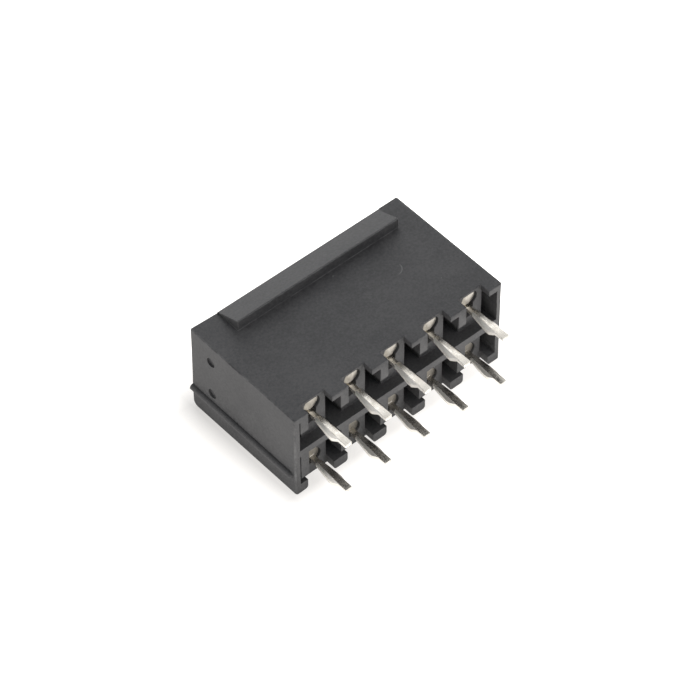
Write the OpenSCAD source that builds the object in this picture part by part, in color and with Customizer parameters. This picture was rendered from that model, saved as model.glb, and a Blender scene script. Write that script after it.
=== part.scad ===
// Two-row box header for flat cable, lying on its long side.
// +X runs along the rows, +Y looks out of the mating opening, the solder
// tails point to -Y, and +Z is up. The origin is the centre of the part's
// footprint, on the surface that it rests on. All sizes are in millimetres.

/* [Housing block] */
// Length of the block past the first and the last column, both ends together
end_margin = 0.7; // [0.6:0.01:0.8]
// Depth from the board side to the mating rim
body_d = 7.8; // [7:0.1:10]
// Height from the feet to the flat top
body_h = 5.55; // [5.5:0.05:6]
// Thickness of the end walls beside the board-side pockets
end_wall = 0.31; // [0.2:0.01:0.33]
// Radius of the lower corner at the mating rim
rim_corner_r = 0.28; // [0.1:0.01:0.5]

/* [Contact grid] */
// Contacts in each row
columns = 5; // [3:1:10]
// Distance between columns, and between the two rows of mating pins
pitch = 2.54; // [2.5:0.01:2.54]

/* [Board side] */
// Depth of the recess that every tail leaves from
recess_d = 0.62; // [0.4:0.01:0.8]
// Thickness of the top wall over the pockets
top_wall = 0.35; // [0.3:0.01:0.45]
// Underside of the web between the rows, above the feet
web_low = 2.67; // [2.6:0.01:2.75]
// Top of the web between the rows, above the feet
web_high = 3.12; // [3.05:0.01:3.2]
// Half width of each window in the top wall, about its tail
window_half = 0.75; // [0.6:0.01:0.78]
// Height of the feet below the lower pockets
foot_h = 0.62; // [0.4:0.01:0.7]
// Radius of the outer corners of the feet
foot_r = 0.18; // [0.05:0.01:0.25]
// Near side of each deep slot, from its tail
slot_near = 0.83; // [0.8:0.01:0.95]
// Far side of each deep slot, from its tail
slot_far = 1.29; // [1.2:0.01:1.3]
// Far side of each deep slot under the land, from its tail
slot_under = 1.84; // [1.4:0.01:1.9]
// Depth of the deep slots
slot_d = 2; // [1:0.1:2.2]
// Lowest point of the land beside each upper tail, above the feet
upper_land_low = 4.33; // [4:0.01:4.6]
// Lowest point of the land beside each lower tail, above the feet
lower_land_low = 1; // [0.7:0.01:1.6]

/* [Mating side] */
// Thickness of the floor between the recesses and the shroud
floor_at = 2.6; // [2.5:0.1:3]
// Thickness of the shroud's long walls
shroud_wall = 0.6; // [0.5:0.05:0.7]
// Thickness of the shroud's end walls
shroud_end = 0.65; // [0.5:0.05:0.8]

/* [Latch ramp] */
// Height of the ramp's crest over the flat top
ramp_h = 0.6; // [0.3:0.05:0.8]
// Run of the ramp from the rim to its crest
ramp_run = 1.62; // [1:0.01:2]
// Distance from the left end wall to the ramp
ramp_inset_left = 1.71; // [1:0.01:2.5]
// Distance from the right end wall to the ramp
ramp_inset_right = 1.32; // [1:0.01:2.5]
// Width of the flat on the crest
ramp_flat = 0.1; // [0.05:0.01:0.3]

/* [End walls] */
// Radius of the guide bead
bead_r = 0.2; // [0.1:0.01:0.25]
// Height of the guide bead's axis above the feet
bead_z = 1.31; // [1:0.01:1.6]
// Distance from the board side to the bead's round end
bead_start = 0.2; // [0.1:0.01:0.5]
// Radius of the dimples
dimple_r = 0.28; // [0.2:0.01:0.35]
// Depth of the dimples
dimple_d = 0.12; // [0.05:0.01:0.2]
// Distance from the board side to the dimples
dimple_y = 6.27; // [5:0.01:6.5]
// Height of the upper dimple above the feet
dimple_high = 4.39; // [4:0.01:4.6]
// Height of the lower dimple above the feet
dimple_low = 2.06; // [1.9:0.01:2.3]

/* [Contacts] */
// Side of the square mating pin
pin_w = 0.5; // [0.4:0.01:0.5]
// Distance from the mating rim to the pin's tip
pin_set_back = 0.9; // [0.6:0.1:1.5]
// Length of the taper at the pin's tip
pin_taper = 0.5; // [0.3:0.05:0.8]
// Reach of the tail past the board side
tail_reach = 2.08; // [1.6:0.01:2.4]
// Top of the upper tails above the feet
upper_tail_z = 4.53; // [4.4:0.01:4.6]
// Top of the lower tails above the feet
lower_tail_z = 1.13; // [1.1:0.01:1.2]
// Width of the tail at its tip
tip_w = 0.4; // [0.36:0.01:0.44]
// Width of the tail where it leaves its neck
root_w = 0.32; // [0.28:0.01:0.36]
// Width of the tail at its bulge
bulge_w = 0.6; // [0.5:0.01:0.75]
// Half width of the flat crown at the tail's root, on the left
crown_root_left = 0.08; // [0.06:0.01:0.14]
// Half width of the flat crown at the tail's tip, on the left
crown_tip_left = 0.22; // [0.16:0.01:0.24]
// Half width of the flat crown at the tail's root, on the right
crown_root_right = 0.14; // [0.06:0.01:0.14]
// Half width of the flat crown at the tail's tip, on the right
crown_tip_right = 0.2; // [0.16:0.01:0.24]
// Fall of the tail's two flanks away from its crown, in degrees
flank_fall = 46; // [30:1:50]
// Thickness of the tail at its root
root_t = 0.28; // [0.25:0.01:0.33]
// Thickness of the tail at its bulge
bulge_t = 0.38; // [0.34:0.01:0.42]
// Thickness of the tail at its tip
tip_t = 0.2; // [0.15:0.01:0.24]
// Radius of the round shoulder plate
plate_r = 0.46; // [0.4:0.01:0.47]
// Gap all round the shoulder plate
plate_gap = 0.04; // [0.03:0.01:0.05]
// Centre of the upper shoulder plates above the feet
upper_plate_z = 5.08; // [5.0:0.01:5.1]
// Centre of the lower shoulder plates above the feet
lower_plate_z = 1.17; // [1.15:0.01:1.2]

/* [Hidden] */
$fn = 48;
// reaches past a face so that a cut leaves nothing behind
past = 1;
body_l = columns * pitch + end_margin;
half_l = body_l / 2;
seat_y = -(body_d - tail_reach) / 2;
rim_y = seat_y + body_d;
ramp_from = ramp_inset_left - half_l;
ramp_to = half_l - ramp_inset_right;
upper_pin_z = (body_h + pitch) / 2;
lower_pin_z = (body_h - pitch) / 2;
// the shoulder plates are discs, set back in their notches; the upper ones
// have a flat outer edge that stays inside the top wall
plate_flat_z = body_h - 0.2;
plate_y = 0.74;
plate_t = 0.21;
body_y = plate_y + plate_t;
body_end_y = 1.5;
// how far a contact's body stops short of the round plate's edge
body_inset = 0.14;
// the neck lies a little below the tail's crown
neck_drop = 0.06;
// distances along the tail, out from the board side
crease_at = -0.22;
bulge_from = 0.9;
bulge_to = 1.15;
step_at = 1.5;
tip_chamfer = 0.05;

function column_x(i) = (i - (columns - 1) / 2) * pitch;

// a plain block given by its lowest and highest corners
module block(low, high) {
    translate(low) cube(high - low);
}

// a block that is measured from the board side inwards
module inward(x0, x1, depth0, depth1, z0, z1) {
    block([x0, seat_y + depth0, z0], [x1, seat_y + depth1, z1]);
}

// the outline of a shoulder plate, cut off above flat_z
module plate_outline(plate_z, r, flat_z) {
    intersection() {
        translate([0, plate_z]) circle(r);
        translate([-r, plate_z - r]) square([2 * r, flat_z - plate_z + r]);
    }
}

// a flat outline in X and Z, made solid from depth0 to depth1
module facing_board(depth0, depth1) {
    translate([0, seat_y + depth1, 0]) rotate([90, 0, 0])
        linear_extrude(depth1 - depth0) children();
}

module side_outline() {
    difference() {
        translate([seat_y, 0]) square([body_d, body_h]);
        difference() {
            translate([rim_y - rim_corner_r, -past])
                square([rim_corner_r + past, rim_corner_r + past]);
            translate([rim_y - rim_corner_r, rim_corner_r]) circle(rim_corner_r);
            translate([rim_y - rim_corner_r - past, -past])
                square([past, rim_corner_r + 2 * past]);
        }
    }
    polygon([
        [rim_y, body_h],
        [rim_y - ramp_run + ramp_flat, body_h + ramp_h],
        [rim_y - ramp_run, body_h + ramp_h],
        [rim_y - ramp_run, body_h - past],
        [rim_y, body_h - past]
    ]);
}

// extrudes an outline in Y and Z along the row
module along_row(x0, x1) {
    translate([x0, 0, 0]) rotate([90, 0, 90]) linear_extrude(x1 - x0) children();
}

module outer_block() {
    intersection() {
        along_row(-half_l, half_l) side_outline();
        union() {
            block([-half_l, seat_y, 0], [half_l, rim_y, body_h]);
            block([ramp_from, seat_y, 0], [ramp_to, rim_y, body_h + ramp_h]);
        }
    }
}

module bead() {
    translate([0, seat_y + bead_start + bead_r, bead_z]) {
        sphere(bead_r);
        rotate([-90, 0, 0]) cylinder(r = bead_r, h = body_d - bead_start - bead_r);
    }
}

// one deep slot, clipped by the end walls; it widens under the land beside it
module slot(i) {
    x0 = max(column_x(i) + slot_near, end_wall - half_l);
    x1 = min(column_x(i) + slot_far, half_l - end_wall);
    x2 = min(column_x(i) + slot_under, half_l - end_wall);
    inward(x0, x1, -past, slot_d, web_high, body_h - top_wall);
    inward(x0, x1, -past, slot_d, foot_h, web_low);
    inward(x0, x2, -past, slot_d, web_high, upper_land_low);
    inward(x0, x2, -past, slot_d, foot_h, lower_land_low);
}

// the open channel in front of each row's tails
module channels() {
    x0 = end_wall - half_l;
    x1 = column_x(columns - 1) + slot_far;
    inward(x0, x1, -past, recess_d, web_high, body_h - top_wall);
    inward(x0, x1, -past, recess_d, foot_h, web_low);
}

// the land left standing between a slot and the next column's tail
module land(i) {
    x0 = column_x(i) - pitch + slot_far;
    x1 = column_x(i) - window_half;
    inward(x0, x1, 0, recess_d, upper_land_low, body_h - top_wall);
    inward(x0, x1, 0, recess_d, lower_land_low, web_low);
}

// the gap between two feet, with the feet's outer corners rounded
module foot_gap(i) {
    translate([column_x(i), 0, 0]) facing_board(-past, recess_d) {
        translate([-slot_near, -past]) square([2 * slot_near, foot_h + past]);
        for (side = [-1, 1])
            difference() {
                translate([side * (slot_near + foot_r / 2), 0])
                    square([foot_r, 2 * foot_r], center = true);
                translate([side * (slot_near + foot_r), foot_r]) circle(foot_r);
            }
    }
}

module window(i) {
    inward(column_x(i) - window_half, column_x(i) + window_half,
        -past, recess_d, body_h - top_wall, body_h + past);
}

// the block that joins a contact's plate, neck and mating pin
module contact_body(plate_z, pin_z, depth0, depth1) {
    half = pin_w / 2;
    reach = plate_r - body_inset;
    inward(-half, half, depth0, depth1,
        min(pin_z - half, plate_z - reach),
        max(pin_z + half, min(plate_z + reach, plate_flat_z)));
}

// the passage that one contact is pushed into, from the board side
module contact_passage(plate_z, pin_z) {
    facing_board(recess_d - past, body_y)
        plate_outline(plate_z, plate_r + plate_gap, plate_flat_z + plate_gap);
    contact_body(plate_z, pin_z, recess_d - past, body_end_y);
    inward(-pin_w / 2, pin_w / 2, recess_d, floor_at + past,
        pin_z - pin_w / 2, pin_z + pin_w / 2);
}

module shroud_cavity() {
    inward(shroud_end - half_l, half_l - shroud_end, floor_at, body_d + past,
        shroud_wall, body_h - shroud_wall);
}

module housing() {
    color([0.13, 0.13, 0.135])
    difference() {
        union() {
            difference() {
                union() {
                    outer_block();
                    for (side = [-1, 1]) translate([side * half_l, 0, 0]) bead();
                }
                channels();
            }
            for (i = [0:columns - 1]) land(i);
        }
        for (i = [-1:columns - 1]) slot(i);
        for (i = [0:columns - 1]) {
            window(i);
            foot_gap(i);
            translate([column_x(i), 0, 0]) {
                contact_passage(upper_plate_z, upper_pin_z);
                contact_passage(lower_plate_z, lower_pin_z);
            }
        }
        shroud_cavity();
        for (side = [-1, 1], z = [dimple_low, dimple_high])
            translate([side * half_l, seat_y + dimple_y, z]) rotate([0, 90, 0])
                cylinder(r = dimple_r, h = 2 * dimple_d, center = true);
    }
}

// the tail seen from above: narrow root, bulge, and a straight tip
module tail_plan() {
    polygon([
        [-root_w / 2, -crease_at],
        [-bulge_w / 2, -bulge_from],
        [-bulge_w / 2, -bulge_to],
        [-tip_w / 2, -step_at],
        [-tip_w / 2, tip_chamfer - tail_reach],
        [tip_chamfer - tip_w / 2, -tail_reach],
        [tip_w / 2 - tip_chamfer, -tail_reach],
        [tip_w / 2, tip_chamfer - tail_reach],
        [tip_w / 2, -step_at],
        [bulge_w / 2, -bulge_to],
        [bulge_w / 2, -bulge_from],
        [root_w / 2, -crease_at]
    ]);
}

// the tail seen from the side, with its crown at zero: a belly, and a thin tip
module tail_side() {
    polygon([
        [-crease_at, 0],
        [-crease_at, -root_t],
        [-bulge_from, -bulge_t],
        [-bulge_to, -bulge_t],
        [-step_at, -tip_t],
        [tip_chamfer - tail_reach, -tip_t],
        [-tail_reach, tip_chamfer - tip_t],
        [-tail_reach, -tip_chamfer],
        [tip_chamfer - tail_reach, 0]
    ]);
}

// what is taken off one side of a tail, to leave a flank that falls away
module off_flank(crown_root, crown_tip) {
    length = tail_reach - crease_at;
    translate([crown_root, seat_y - crease_at, 0])
        rotate([0, flank_fall, atan((crown_tip - crown_root) / length)])
            translate([0, -length - past, 0]) cube([past, length + 2 * past, past]);
}

module tail(tail_z) {
    translate([0, 0, tail_z]) difference() {
        intersection() {
            translate([0, seat_y, -bulge_t]) linear_extrude(bulge_t) tail_plan();
            translate([0, seat_y, 0]) along_row(-bulge_w / 2, bulge_w / 2) tail_side();
        }
        off_flank(crown_root_right, crown_tip_right);
        mirror([1, 0, 0]) off_flank(crown_root_left, crown_tip_left);
    }
}

// a square pin whose four sides taper at the tip
module mating_pin(pin_z) {
    tip = body_d - pin_set_back;
    half = pin_w / 2;
    outline = [
        [-half, body_end_y], [half, body_end_y], [half, tip - pin_taper],
        [half / 2, tip], [-half / 2, tip], [-half, tip - pin_taper]
    ];
    translate([0, seat_y, pin_z]) intersection() {
        translate([0, 0, -half]) linear_extrude(pin_w) polygon(outline);
        rotate([0, -90, 0]) translate([0, 0, -half])
            linear_extrude(pin_w) polygon(outline);
    }
}

module contact(tail_z, plate_z, pin_z) {
    color([0.78, 0.78, 0.76]) {
        tail(tail_z);
        inward(-root_w / 2, root_w / 2, -crease_at, body_y,
            tail_z - root_t, tail_z - neck_drop);
        facing_board(plate_y, body_y) plate_outline(plate_z, plate_r, plate_flat_z);
        contact_body(plate_z, pin_z, body_y, body_end_y);
        mating_pin(pin_z);
    }
}

module contact_upper(i) {
    translate([column_x(i), 0, 0]) contact(upper_tail_z, upper_plate_z, upper_pin_z);
}

module contact_lower(i) {
    translate([column_x(i), 0, 0]) contact(lower_tail_z, lower_plate_z, lower_pin_z);
}

housing();
for (i = [1:columns])
    contact_upper(i - 1);
for (i = [1:columns])
    contact_lower(i - 1);
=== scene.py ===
import math

import bmesh
import bpy
from mathutils import Matrix, Vector


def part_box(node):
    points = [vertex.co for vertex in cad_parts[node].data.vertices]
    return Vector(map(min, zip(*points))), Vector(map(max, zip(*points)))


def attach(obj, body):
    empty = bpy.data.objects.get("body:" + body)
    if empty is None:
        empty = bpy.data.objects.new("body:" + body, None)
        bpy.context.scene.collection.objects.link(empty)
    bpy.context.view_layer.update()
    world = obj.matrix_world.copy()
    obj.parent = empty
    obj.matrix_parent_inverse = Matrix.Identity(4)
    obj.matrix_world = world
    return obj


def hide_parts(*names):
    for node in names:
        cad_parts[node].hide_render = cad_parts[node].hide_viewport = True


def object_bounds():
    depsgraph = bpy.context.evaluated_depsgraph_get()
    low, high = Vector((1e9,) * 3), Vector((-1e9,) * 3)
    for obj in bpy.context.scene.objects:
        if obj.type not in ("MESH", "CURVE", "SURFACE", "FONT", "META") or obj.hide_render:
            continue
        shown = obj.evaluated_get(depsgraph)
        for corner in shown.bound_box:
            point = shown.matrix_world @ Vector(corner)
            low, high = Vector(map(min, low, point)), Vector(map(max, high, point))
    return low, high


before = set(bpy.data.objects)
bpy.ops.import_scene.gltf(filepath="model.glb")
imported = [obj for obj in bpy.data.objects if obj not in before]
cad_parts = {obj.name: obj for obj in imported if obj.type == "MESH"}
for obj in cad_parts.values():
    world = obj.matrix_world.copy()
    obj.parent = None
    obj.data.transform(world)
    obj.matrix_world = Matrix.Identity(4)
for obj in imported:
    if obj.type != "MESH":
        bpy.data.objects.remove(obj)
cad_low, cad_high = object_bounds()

MM = 0.001
housing_low, housing_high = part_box("housing")
block_top = 5.55 * MM
wall_edge_round = 0.1 * MM
top_edge_round = 0.04 * MM
pocket_edge_round = 0.02 * MM
shortest_wall_edge = 3 * MM
end_wall_reach = 0.25 * MM
end_slit_from = -6.42 * MM
end_slit_to = -6.3 * MM
bead_low = 1.05 * MM
bead_high = 1.56 * MM
beads_from = 6.5 * MM
hair = 0.002 * MM
weld = 0.0005 * MM
flat_within = 0.4
edge_turn = 50
housing_crease = 50


def whole_faces(node):
    """A bmesh of a CAD node whose flat faces are single faces again."""
    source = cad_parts[node].data
    shape = bmesh.new()
    corners = [shape.verts.new(v.co) for v in source.vertices]
    for face in source.polygons:
        shape.faces.new([corners[i] for i in face.vertices])
    bmesh.ops.remove_doubles(shape, verts=shape.verts, dist=weld)
    bmesh.ops.dissolve_limit(
        shape, angle_limit=math.radians(flat_within), verts=shape.verts, edges=shape.edges,
        delimit=set(),
    )
    shape.normal_update()
    return shape


def sharp_edges(shape):
    """The edges of a bmesh that turn by more than edge_turn degrees."""
    angle = math.radians(edge_turn)
    return [e for e in shape.edges if len(e.link_faces) == 2 and e.calc_face_angle(0) > angle]


def rounded(shape, edges, width, segments):
    """Rounds those edges, and marks the middle of each outward round as a place that wears."""
    worn = shape.verts.layers.float.get("worn_edge") or shape.verts.layers.float.new("worn_edge")
    made = bmesh.ops.bevel(
        shape, geom=list(edges), offset=width, offset_type="OFFSET", segments=segments,
        profile=0.5, affect="EDGES", clamp_overlap=False, loop_slide=True,
    )
    shape.normal_update()
    strips = set(made["faces"])
    for corner in made["verts"]:
        if all(face in strips for face in corner.link_faces):
            around = [edge.other_vert(corner).co - corner.co for edge in corner.link_edges]
            if corner.normal.dot(sum(around, Vector())) < 0:
                corner[worn] = 1


def finished(shape, node, name, material, crease):
    """The shape, kept to its node's box, as a smooth object that rides on the part's body."""
    low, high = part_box(node)
    for corner in shape.verts:
        corner.co = [min(max(value, a), b) for value, a, b in zip(corner.co, low, high)]
    mesh = bpy.data.meshes.new(name)
    shape.to_mesh(mesh)
    shape.free()
    for face in mesh.polygons:
        face.use_smooth = True
    mesh.set_sharp_from_angle(angle=math.radians(crease))
    mesh.materials.append(material)
    piece = bpy.data.objects.new(name, mesh)
    bpy.context.scene.collection.objects.link(piece)
    true_flats = piece.modifiers.new("true_flats", "WEIGHTED_NORMAL")
    true_flats.keep_sharp = True
    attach(piece, "root")
    return piece


def middle(edge):
    return (edge.verts[0].co + edge.verts[1].co) / 2


def is_wall_edge(edge):
    """True for the long edges where two of the block's outer faces meet."""
    point = middle(edge)
    at_end = min(point.x - housing_low.x, housing_high.x - point.x) < end_wall_reach
    at_top_or_foot = abs(point.z - block_top) < hair or abs(point.z) < hair
    at_board_or_rim = min(point.y - housing_low.y, housing_high.y - point.y) < hair
    is_long = edge.calc_length() > shortest_wall_edge
    return is_long and at_end + at_top_or_foot + at_board_or_rim == 2


def is_top_edge(edge):
    return middle(edge).z > block_top - hair


def is_kept_crisp(edge):
    """True in the hair-wide slit by the end wall, and round the guide beads."""
    point = middle(edge)
    in_slit = end_slit_from < point.x < end_slit_to
    at_bead = abs(point.x) > beads_from and bead_low < point.z < bead_high
    return in_slit or at_bead


black_plastic = bpy.data.materials.new("black_plastic")
shape = whole_faces("housing")
wall_edges = [e for e in sharp_edges(shape) if is_wall_edge(e)]
rounded(shape, wall_edges, wall_edge_round, 3)
top_edges = [e for e in sharp_edges(shape) if is_top_edge(e) and not is_kept_crisp(e)]
rounded(shape, top_edges, top_edge_round, 2)
pocket_edges = [e for e in sharp_edges(shape) if not is_top_edge(e) and not is_kept_crisp(e)]
rounded(shape, pocket_edges, pocket_edge_round, 2)
housing = finished(shape, "housing", "moulded_housing", black_plastic, housing_crease)
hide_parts("housing")


def new_group(name, inputs, outputs):
    """An empty shader node group with these named inputs and outputs."""
    group = bpy.data.node_groups.new(name, "ShaderNodeTree")
    for title, kind, value in inputs:
        socket = group.interface.new_socket(title, in_out="INPUT", socket_type=kind)
        socket.default_value = value
    for title, kind in outputs:
        group.interface.new_socket(title, in_out="OUTPUT", socket_type=kind)
    return group, group.nodes.new("NodeGroupInput"), group.nodes.new("NodeGroupOutput")


def join(tree, source, target):
    tree.links.new(source, target)


def noise(tree, place, scale, detail=2, roughness=0.5):
    node = tree.nodes.new("ShaderNodeTexNoise")
    node.inputs["Detail"].default_value = detail
    node.inputs["Roughness"].default_value = roughness
    join(tree, place, node.inputs["Vector"])
    if isinstance(scale, (int, float)):
        node.inputs["Scale"].default_value = scale
    else:
        join(tree, scale, node.inputs["Scale"])
    return node.outputs["Fac"]


def ranged(tree, value, from_low, from_high, to_low=0, to_high=1):
    node = tree.nodes.new("ShaderNodeMapRange")
    node.clamp = True
    join(tree, value, node.inputs["Value"])
    for title, number in (("From Min", from_low), ("From Max", from_high),
                          ("To Min", to_low), ("To Max", to_high)):
        if isinstance(number, (int, float)):
            node.inputs[title].default_value = number
        else:
            join(tree, number, node.inputs[title])
    return node.outputs["Result"]


def calc(tree, operation, first, second=None):
    node = tree.nodes.new("ShaderNodeMath")
    node.operation = operation
    for socket, item in zip(node.inputs, (first, second)):
        if item is None:
            continue
        if isinstance(item, (int, float)):
            socket.default_value = item
        else:
            join(tree, item, socket)
    return node.outputs[0]


def blended(tree, amount, first, second):
    """One colour turned into another by a mask."""
    node = tree.nodes.new("ShaderNodeMix")
    node.data_type = "RGBA"
    join(tree, amount, node.inputs[0])
    for socket, item in ((node.inputs[6], first), (node.inputs[7], second)):
        if isinstance(item, tuple):
            socket.default_value = item
        else:
            join(tree, item, socket)
    return node.outputs[2]


def painted(tree, under, mask, strength, paint):
    """A colour with another laid over it, at this strength where the mask is 1."""
    return blended(tree, calc(tree, "MULTIPLY", mask, strength), under, paint)


def in_millimetres(tree):
    """Places on the piece, in millimetres of the part's own frame."""
    place = tree.nodes.new("ShaderNodeTexCoord")
    scale = tree.nodes.new("ShaderNodeVectorMath")
    scale.operation = "SCALE"
    scale.inputs["Scale"].default_value = 1 / MM
    join(tree, place.outputs["Object"], scale.inputs[0])
    return scale.outputs[0]


# the mould's grain: a fine even pebble with a slow change of tone over it
grain, given, made = new_group(
    "mould_grain",
    [("Place", "NodeSocketVector", (0, 0, 0)), ("Grains per mm", "NodeSocketFloat", 9)],
    [("Height", "NodeSocketFloat"), ("Tone", "NodeSocketFloat")],
)
pebble = noise(grain, given.outputs["Place"], given.outputs["Grains per mm"], 3, 0.6)
cloud = noise(grain, given.outputs["Place"], 0.45, 2, 0.5)
join(grain, pebble, made.inputs["Height"])
pebble_tone = calc(grain, "MULTIPLY", pebble, 0.6)
cloud_tone = calc(grain, "MULTIPLY", cloud, 0.4)
join(grain, calc(grain, "ADD", pebble_tone, cloud_tone), made.inputs["Tone"])

# pale specks of dust: at most one to each cell, in a share of the cells
specks, given, made = new_group(
    "pale_specks",
    [("Place", "NodeSocketVector", (0, 0, 0)), ("Cells per mm", "NodeSocketFloat", 1.6),
     ("Size", "NodeSocketFloat", 0.05), ("Share", "NodeSocketFloat", 0.2)],
    [("Mask", "NodeSocketFloat")],
)
cells = specks.nodes.new("ShaderNodeTexVoronoi")
join(specks, given.outputs["Place"], cells.inputs["Vector"])
join(specks, given.outputs["Cells per mm"], cells.inputs["Scale"])
chance = specks.nodes.new("ShaderNodeSeparateColor")
join(specks, cells.outputs["Color"], chance.inputs["Color"])
chosen = calc(specks, "LESS_THAN", chance.outputs[0], given.outputs["Share"])
part_of_size = ranged(specks, chance.outputs[1], 0, 1, 0.4, 1)
own_size = calc(specks, "MULTIPLY", given.outputs["Size"], part_of_size)
core_size = calc(specks, "MULTIPLY", own_size, 0.5)
dot = ranged(specks, cells.outputs["Distance"], core_size, own_size, 1, 0)
join(specks, calc(specks, "MULTIPLY", dot, chosen), made.inputs["Mask"])

# wear on the rounds that the mesh marks, broken up so that it comes and goes
wear, given, made = new_group(
    "edge_wear",
    [("Place", "NodeSocketVector", (0, 0, 0)), ("Patches per mm", "NodeSocketFloat", 2)],
    [("Mask", "NodeSocketFloat")],
)
mark = wear.nodes.new("ShaderNodeAttribute")
mark.attribute_name = "worn_edge"
patchy = noise(wear, given.outputs["Place"], given.outputs["Patches per mm"], 4, 0.6)
patches = ranged(wear, patchy, 0.4, 0.62)
join(wear, calc(wear, "MULTIPLY", mark.outputs["Fac"], patches), made.inputs["Mask"])

# a short curved scuff: part of a ring about Centre, where it passes near Spot
scuff, given, made = new_group(
    "curved_scuff",
    [("Place", "NodeSocketVector", (0, 0, 0)), ("Centre", "NodeSocketVector", (0, 0, 0)),
     ("Radius", "NodeSocketFloat", 1), ("Spot", "NodeSocketVector", (0, 0, 0)),
     ("Reach", "NodeSocketFloat", 0.3), ("Width", "NodeSocketFloat", 0.03)],
    [("Mask", "NodeSocketFloat")],
)


def apart(tree, first, second):
    node = tree.nodes.new("ShaderNodeVectorMath")
    node.operation = "DISTANCE"
    join(tree, first, node.inputs[0])
    join(tree, second, node.inputs[1])
    return node.outputs["Value"]


from_centre = apart(scuff, given.outputs["Place"], given.outputs["Centre"])
past_ring = calc(scuff, "SUBTRACT", from_centre, given.outputs["Radius"])
line = ranged(scuff, calc(scuff, "ABSOLUTE", past_ring), 0, given.outputs["Width"], 1, 0)
from_spot = apart(scuff, given.outputs["Place"], given.outputs["Spot"])
full_reach = calc(scuff, "MULTIPLY", given.outputs["Reach"], 0.6)
near = ranged(scuff, from_spot, full_reach, given.outputs["Reach"], 1, 0)
join(scuff, calc(scuff, "MULTIPLY", line, near), made.inputs["Mask"])


def placed(tree, group, **values):
    """One use of a node group, with its own values."""
    node = tree.nodes.new("ShaderNodeGroup")
    node.node_tree = group
    for title, value in values.items():
        socket = node.inputs[title.replace("_", " ")]
        if hasattr(value, "is_output"):
            join(tree, value, socket)
        else:
            socket.default_value = value
    return node


def bumped(tree, height, depth, skin):
    bump = tree.nodes.new("ShaderNodeBump")
    bump.inputs["Distance"].default_value = depth
    join(tree, height, bump.inputs["Height"])
    join(tree, bump.outputs["Normal"], skin.inputs["Normal"])


black_plastic.use_nodes = True
tree = black_plastic.node_tree
skin = tree.nodes["Principled BSDF"]
place = in_millimetres(tree)
grained = placed(tree, grain, Place=place, Grains_per_mm=8)
dusty = placed(tree, specks, Place=place, Cells_per_mm=1.3, Size=0.06, Share=0.2)
rubbed = placed(tree, wear, Place=place, Patches_per_mm=1.7)
top_z = block_top / MM
scratch = placed(
    tree, scuff, Place=place, Centre=(3.3, 1.4, top_z), Radius=0.46, Spot=(3.62, 1.07, top_z),
    Reach=0.42, Width=0.03)
tone = ranged(tree, grained.outputs["Tone"], 0.37, 0.63)
dark_grain = (0.029, 0.029, 0.031, 1)
pale_grain = (0.062, 0.0615, 0.063, 1)
rubbed_grey = (0.13, 0.13, 0.13, 1)
dust_grey = (0.3, 0.3, 0.29, 1)
scuff_grey = (0.3, 0.3, 0.3, 1)
grain_depth = 0.006 * MM
colour = blended(tree, tone, dark_grain, pale_grain)
colour = painted(tree, colour, rubbed.outputs["Mask"], 0.55, rubbed_grey)
colour = painted(tree, colour, dusty.outputs["Mask"], 0.5, dust_grey)
colour = painted(tree, colour, scratch.outputs["Mask"], 0.4, scuff_grey)
join(tree, colour, skin.inputs["Base Color"])
matt = ranged(tree, grained.outputs["Tone"], 0.3, 0.7, 0.6, 0.7)
polish = calc(tree, "MULTIPLY", rubbed.outputs["Mask"], 0.12)
join(tree, calc(tree, "SUBTRACT", matt, polish), skin.inputs["Roughness"])
bumped(tree, grained.outputs["Height"], grain_depth, skin)

# Contacts. Ten, stamped from tin-plated copper-alloy strip and pushed in from the board side.
# Each has a spear-shaped solder tail, a round shoulder plate in its notch and a square mating
# pin. The punch sheared each tail's left side, now matt, and tore its right side, now dark
# brown: partly bare alloy, partly painted shade.
contact_edge_round = 0.012 * MM
contact_crease = 31.5
side_facing = 0.35
# The shoulder plates' board-facing faces get painted shade: a darker tin, darker still in the
# lower row, and also a rougher finish.
board_facing = 0.9
upper_plate_shade = 0.75
lower_plate_shade = 1
tin = bpy.data.materials.new("tin_plate")
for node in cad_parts:
    if not node.startswith("contact"):
        continue
    shape = whole_faces(node)
    rounded(shape, sharp_edges(shape), contact_edge_round, 3)
    torn_and_shaded = shape.faces.layers.float.new("torn_side_and_shade")
    sheared = shape.faces.layers.float.new("sheared_side")
    plate_shade_layer = shape.faces.layers.float.new("plate_shade_and_matt")
    plate_shade = lower_plate_shade if node.startswith("contact_lower") else upper_plate_shade
    for face in shape.faces:
        on_tail = face.calc_center_median().y < housing_low.y
        face[torn_and_shaded] = 1 if on_tail and face.normal.x > side_facing else 0
        face[sheared] = 1 if on_tail and face.normal.x < -side_facing else 0
        face[plate_shade_layer] = plate_shade if not on_tail and face.normal.y < -board_facing else 0
    piece = finished(shape, node, "stamped_" + node, tin, contact_crease)
    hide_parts(node)

# rolling lines along the strip, and the slow clouding of tin that has aged
strip, given, made = new_group(
    "rolled_strip",
    [("Place", "NodeSocketVector", (0, 0, 0)), ("Lines per mm", "NodeSocketFloat", 12)],
    [("Height", "NodeSocketFloat"), ("Cloud", "NodeSocketFloat")],
)
stretch = strip.nodes.new("ShaderNodeVectorMath")
stretch.operation = "MULTIPLY"
stretch.inputs[1].default_value = (1, 0.06, 0.5)
join(strip, given.outputs["Place"], stretch.inputs[0])
lines = noise(strip, stretch.outputs[0], given.outputs["Lines per mm"], 2, 0.6)
join(strip, lines, made.inputs["Height"])
join(strip, noise(strip, given.outputs["Place"], 3, 3, 0.6), made.inputs["Cloud"])

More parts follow.
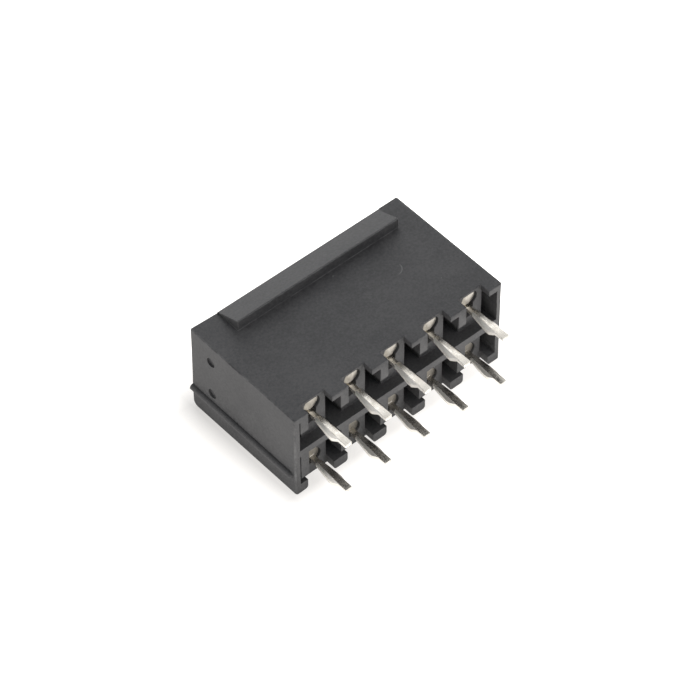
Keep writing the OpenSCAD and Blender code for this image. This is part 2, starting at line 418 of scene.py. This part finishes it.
tin.use_nodes = True
tree = tin.node_tree
skin = tree.nodes["Principled BSDF"]
skin.inputs["Metallic"].default_value = 1
place = in_millimetres(tree)
rolled = placed(tree, strip, Place=place, Lines_per_mm=14)
rubbed = placed(tree, wear, Place=place, Patches_per_mm=4)


def marked(tree, name):
    """How much of this kind of surface the mesh gives each face, from 0 to 1."""
    node = tree.nodes.new("ShaderNodeAttribute")
    node.attribute_name = name
    return node.outputs["Fac"]


torn_side_and_shade = marked(tree, "torn_side_and_shade")
sheared_side = marked(tree, "sheared_side")
plate_shade_and_matt = marked(tree, "plate_shade_and_matt")
axes = tree.nodes.new("ShaderNodeSeparateXYZ")
join(tree, place, axes.inputs[0])
tip_y = cad_low.y / MM
darkest_to = tip_y + 0.2
bright_from = tip_y + 0.9
# the tin is darker over the last stretch towards each tail's tip
darker_near_tip = ranged(tree, axes.outputs["Y"], darkest_to, bright_from, 1, 0)
cloud = ranged(tree, rolled.outputs["Cloud"], 0.35, 0.65)
streaks = ranged(tree, rolled.outputs["Height"], 0.54, 0.75)
bright_tin = (0.87, 0.84, 0.78, 1)
clouded_tin = (0.7, 0.66, 0.59, 1)
streaked_tin = (0.5, 0.45, 0.38, 1)
tip_tin = (0.47, 0.45, 0.41, 1)
plate_shade_tin = (0.2, 0.185, 0.16, 1)
sheared_tin = (0.9, 0.88, 0.84, 1)
bare_alloy_and_shade = (0.11, 0.09, 0.07, 1)
rubbed_tin = (0.88, 0.86, 0.82, 1)
line_depth = 0.004 * MM
colour = blended(tree, cloud, bright_tin, clouded_tin)
colour = blended(tree, streaks, colour, streaked_tin)
colour = painted(tree, colour, darker_near_tip, 0.7, tip_tin)
# painted shade on the shoulder plates in the notches
colour = painted(tree, colour, plate_shade_and_matt, 0.95, plate_shade_tin)
colour = painted(tree, colour, sheared_side, 0.8, sheared_tin)
# painted shade on the tails' right sides, in the brown of bare alloy
colour = painted(tree, colour, torn_side_and_shade, 0.92, bare_alloy_and_shade)
colour = painted(tree, colour, rubbed.outputs["Mask"], 0.6, rubbed_tin)
join(tree, colour, skin.inputs["Base Color"])
matt = ranged(tree, rolled.outputs["Cloud"], 0.3, 0.7, 0.18, 0.34)
matt = calc(tree, "ADD", matt, calc(tree, "MULTIPLY", plate_shade_and_matt, 0.22))
matt = calc(tree, "ADD", matt, calc(tree, "MULTIPLY", sheared_side, 0.35))
join(tree, matt, skin.inputs["Roughness"])
bumped(tree, rolled.outputs["Height"], line_depth, skin)

# Floor. A white light table that the part stands on, far wider than the part. Its glow carries
# painted light and shade: a painted pool of light, brightest towards the front right, and a
# painted contact shadow close round the part.
floor_reach = 3.0
floor_mesh = bpy.data.meshes.new("floor")
floor_mesh.from_pydata(
    [(-floor_reach, -floor_reach, 0), (floor_reach, -floor_reach, 0),
     (floor_reach, floor_reach, 0), (-floor_reach, floor_reach, 0)], [], [(0, 1, 2, 3)])
floor = bpy.data.objects.new("floor", floor_mesh)
bpy.context.scene.collection.objects.link(floor)
light_table = bpy.data.materials.new("light_table")
floor_mesh.materials.append(light_table)
light_table.use_nodes = True
tree = light_table.node_tree
skin = tree.nodes["Principled BSDF"]
skin.inputs["Base Color"].default_value = (0.3, 0.3, 0.3, 1)
skin.inputs["Roughness"].default_value = 0.9
skin.inputs["Emission Strength"].default_value = 2.2
axes = tree.nodes.new("ShaderNodeSeparateXYZ")
join(tree, in_millimetres(tree), axes.inputs[0])
block_middle_y = (housing_low.y + housing_high.y) / 2 / MM
block_half_y = housing_high.y / MM - block_middle_y
shade_reach = 2.5
shade_glow = 0.4
far_glow = 0.62
dimmest_at = -12
brightest_at = 8
glow_white = (1, 0.975, 0.945, 1)
from_middle_x = calc(tree, "ABSOLUTE", axes.outputs["X"])
past_end = calc(tree, "SUBTRACT", from_middle_x, housing_high.x / MM)
from_middle_y = calc(tree, "ABSOLUTE", calc(tree, "SUBTRACT", axes.outputs["Y"], block_middle_y))
past_side = calc(tree, "SUBTRACT", from_middle_y, block_half_y)
clearance = calc(
    tree, "ADD", calc(tree, "MAXIMUM", past_end, 0), calc(tree, "MAXIMUM", past_side, 0))
# painted contact shadow: the glow falls to shade_glow close round the part
painted_contact_shadow = ranged(tree, clearance, 0, shade_reach, shade_glow, 1)
right_less_back = calc(tree, "SUBTRACT", axes.outputs["X"], axes.outputs["Y"])
# painted pool of light: the glow rises towards the front right
painted_light_to_front_right = ranged(tree, right_less_back, dimmest_at, brightest_at, far_glow, 1)
painted_floor_light = calc(tree, "MULTIPLY", painted_contact_shadow, painted_light_to_front_right)
join(tree, blended(tree, painted_floor_light, (0, 0, 0, 1), glow_white), skin.inputs["Emission Color"])

# Light. A pale room with four round soft banks: a wide one high behind on the right that the
# tails' crowns mirror, a smaller one below it, one behind on the left, and one high in front
# on the right.
world = bpy.data.worlds.new("studio")
world.use_nodes = True
world.node_tree.nodes["Background"].inputs["Color"].default_value = (0.97, 0.98, 1, 1)
world.node_tree.nodes["Background"].inputs["Strength"].default_value = 0.43
bpy.context.scene.world = world


def soft_bank(name, toward, distance, size, radiance):
    """A round soft light that faces the part, with this radiance over its whole face."""
    light = bpy.data.lights.new(name, "AREA")
    light.shape = "DISK"
    light.size = size
    light.energy = radiance * math.pi * math.pi * size * size / 4
    lamp = bpy.data.objects.new(name, light)
    toward = Vector(toward).normalized()
    lamp.location = toward * distance
    lamp.rotation_euler = toward.to_track_quat("Z", "Y").to_euler()
    bpy.context.scene.collection.objects.link(lamp)


soft_bank("overhead_bank", (0.43, 0.5, 0.76), 0.5, 0.5, 0.85)
soft_bank("low_back_bank", (0.5, 0.82, 0.28), 0.4, 0.3, 2.6)
soft_bank("high_left_bank", (-0.75, 0.5, 0.45), 0.4, 0.24, 1.7)
soft_bank("front_bank", (0.38, -0.68, 0.62), 0.4, 0.36, 1.75)

# Camera. It looks down on the board side from the left, from about 16 cm away. It aims at a
# point set off, across and up its own view, from the foot of the block's far left corner.
azimuth = math.radians(-40.926)
elevation = math.radians(49.052)
roll = math.radians(-0.303)
far_left_foot = Vector((-6.7, 4.94, 0))
aim_across = 7.741
aim_up = 2.632
camera_distance = 162.83
toward_camera = Vector((
    math.sin(azimuth) * math.cos(elevation),
    -math.cos(azimuth) * math.cos(elevation),
    math.sin(elevation),
))
level_right = Vector((math.cos(azimuth), math.sin(azimuth), 0))
level_up = toward_camera.cross(level_right)
right = level_right * math.cos(roll) + level_up * math.sin(roll)
up = level_up * math.cos(roll) - level_right * math.sin(roll)
aim = far_left_foot * MM + (right * aim_across + up * aim_up) * MM
lens = bpy.data.cameras.new("camera")
lens.lens = 168.71
lens.sensor_width = 36
lens.clip_start = 0.01
camera = bpy.data.objects.new("camera", lens)
camera.matrix_world = Matrix((right, up, toward_camera)).transposed().to_4x4()
camera.location = aim + toward_camera * camera_distance * MM
bpy.context.scene.collection.objects.link(camera)
bpy.context.scene.camera = camera
bpy.context.scene.view_settings.view_transform = "Standard"
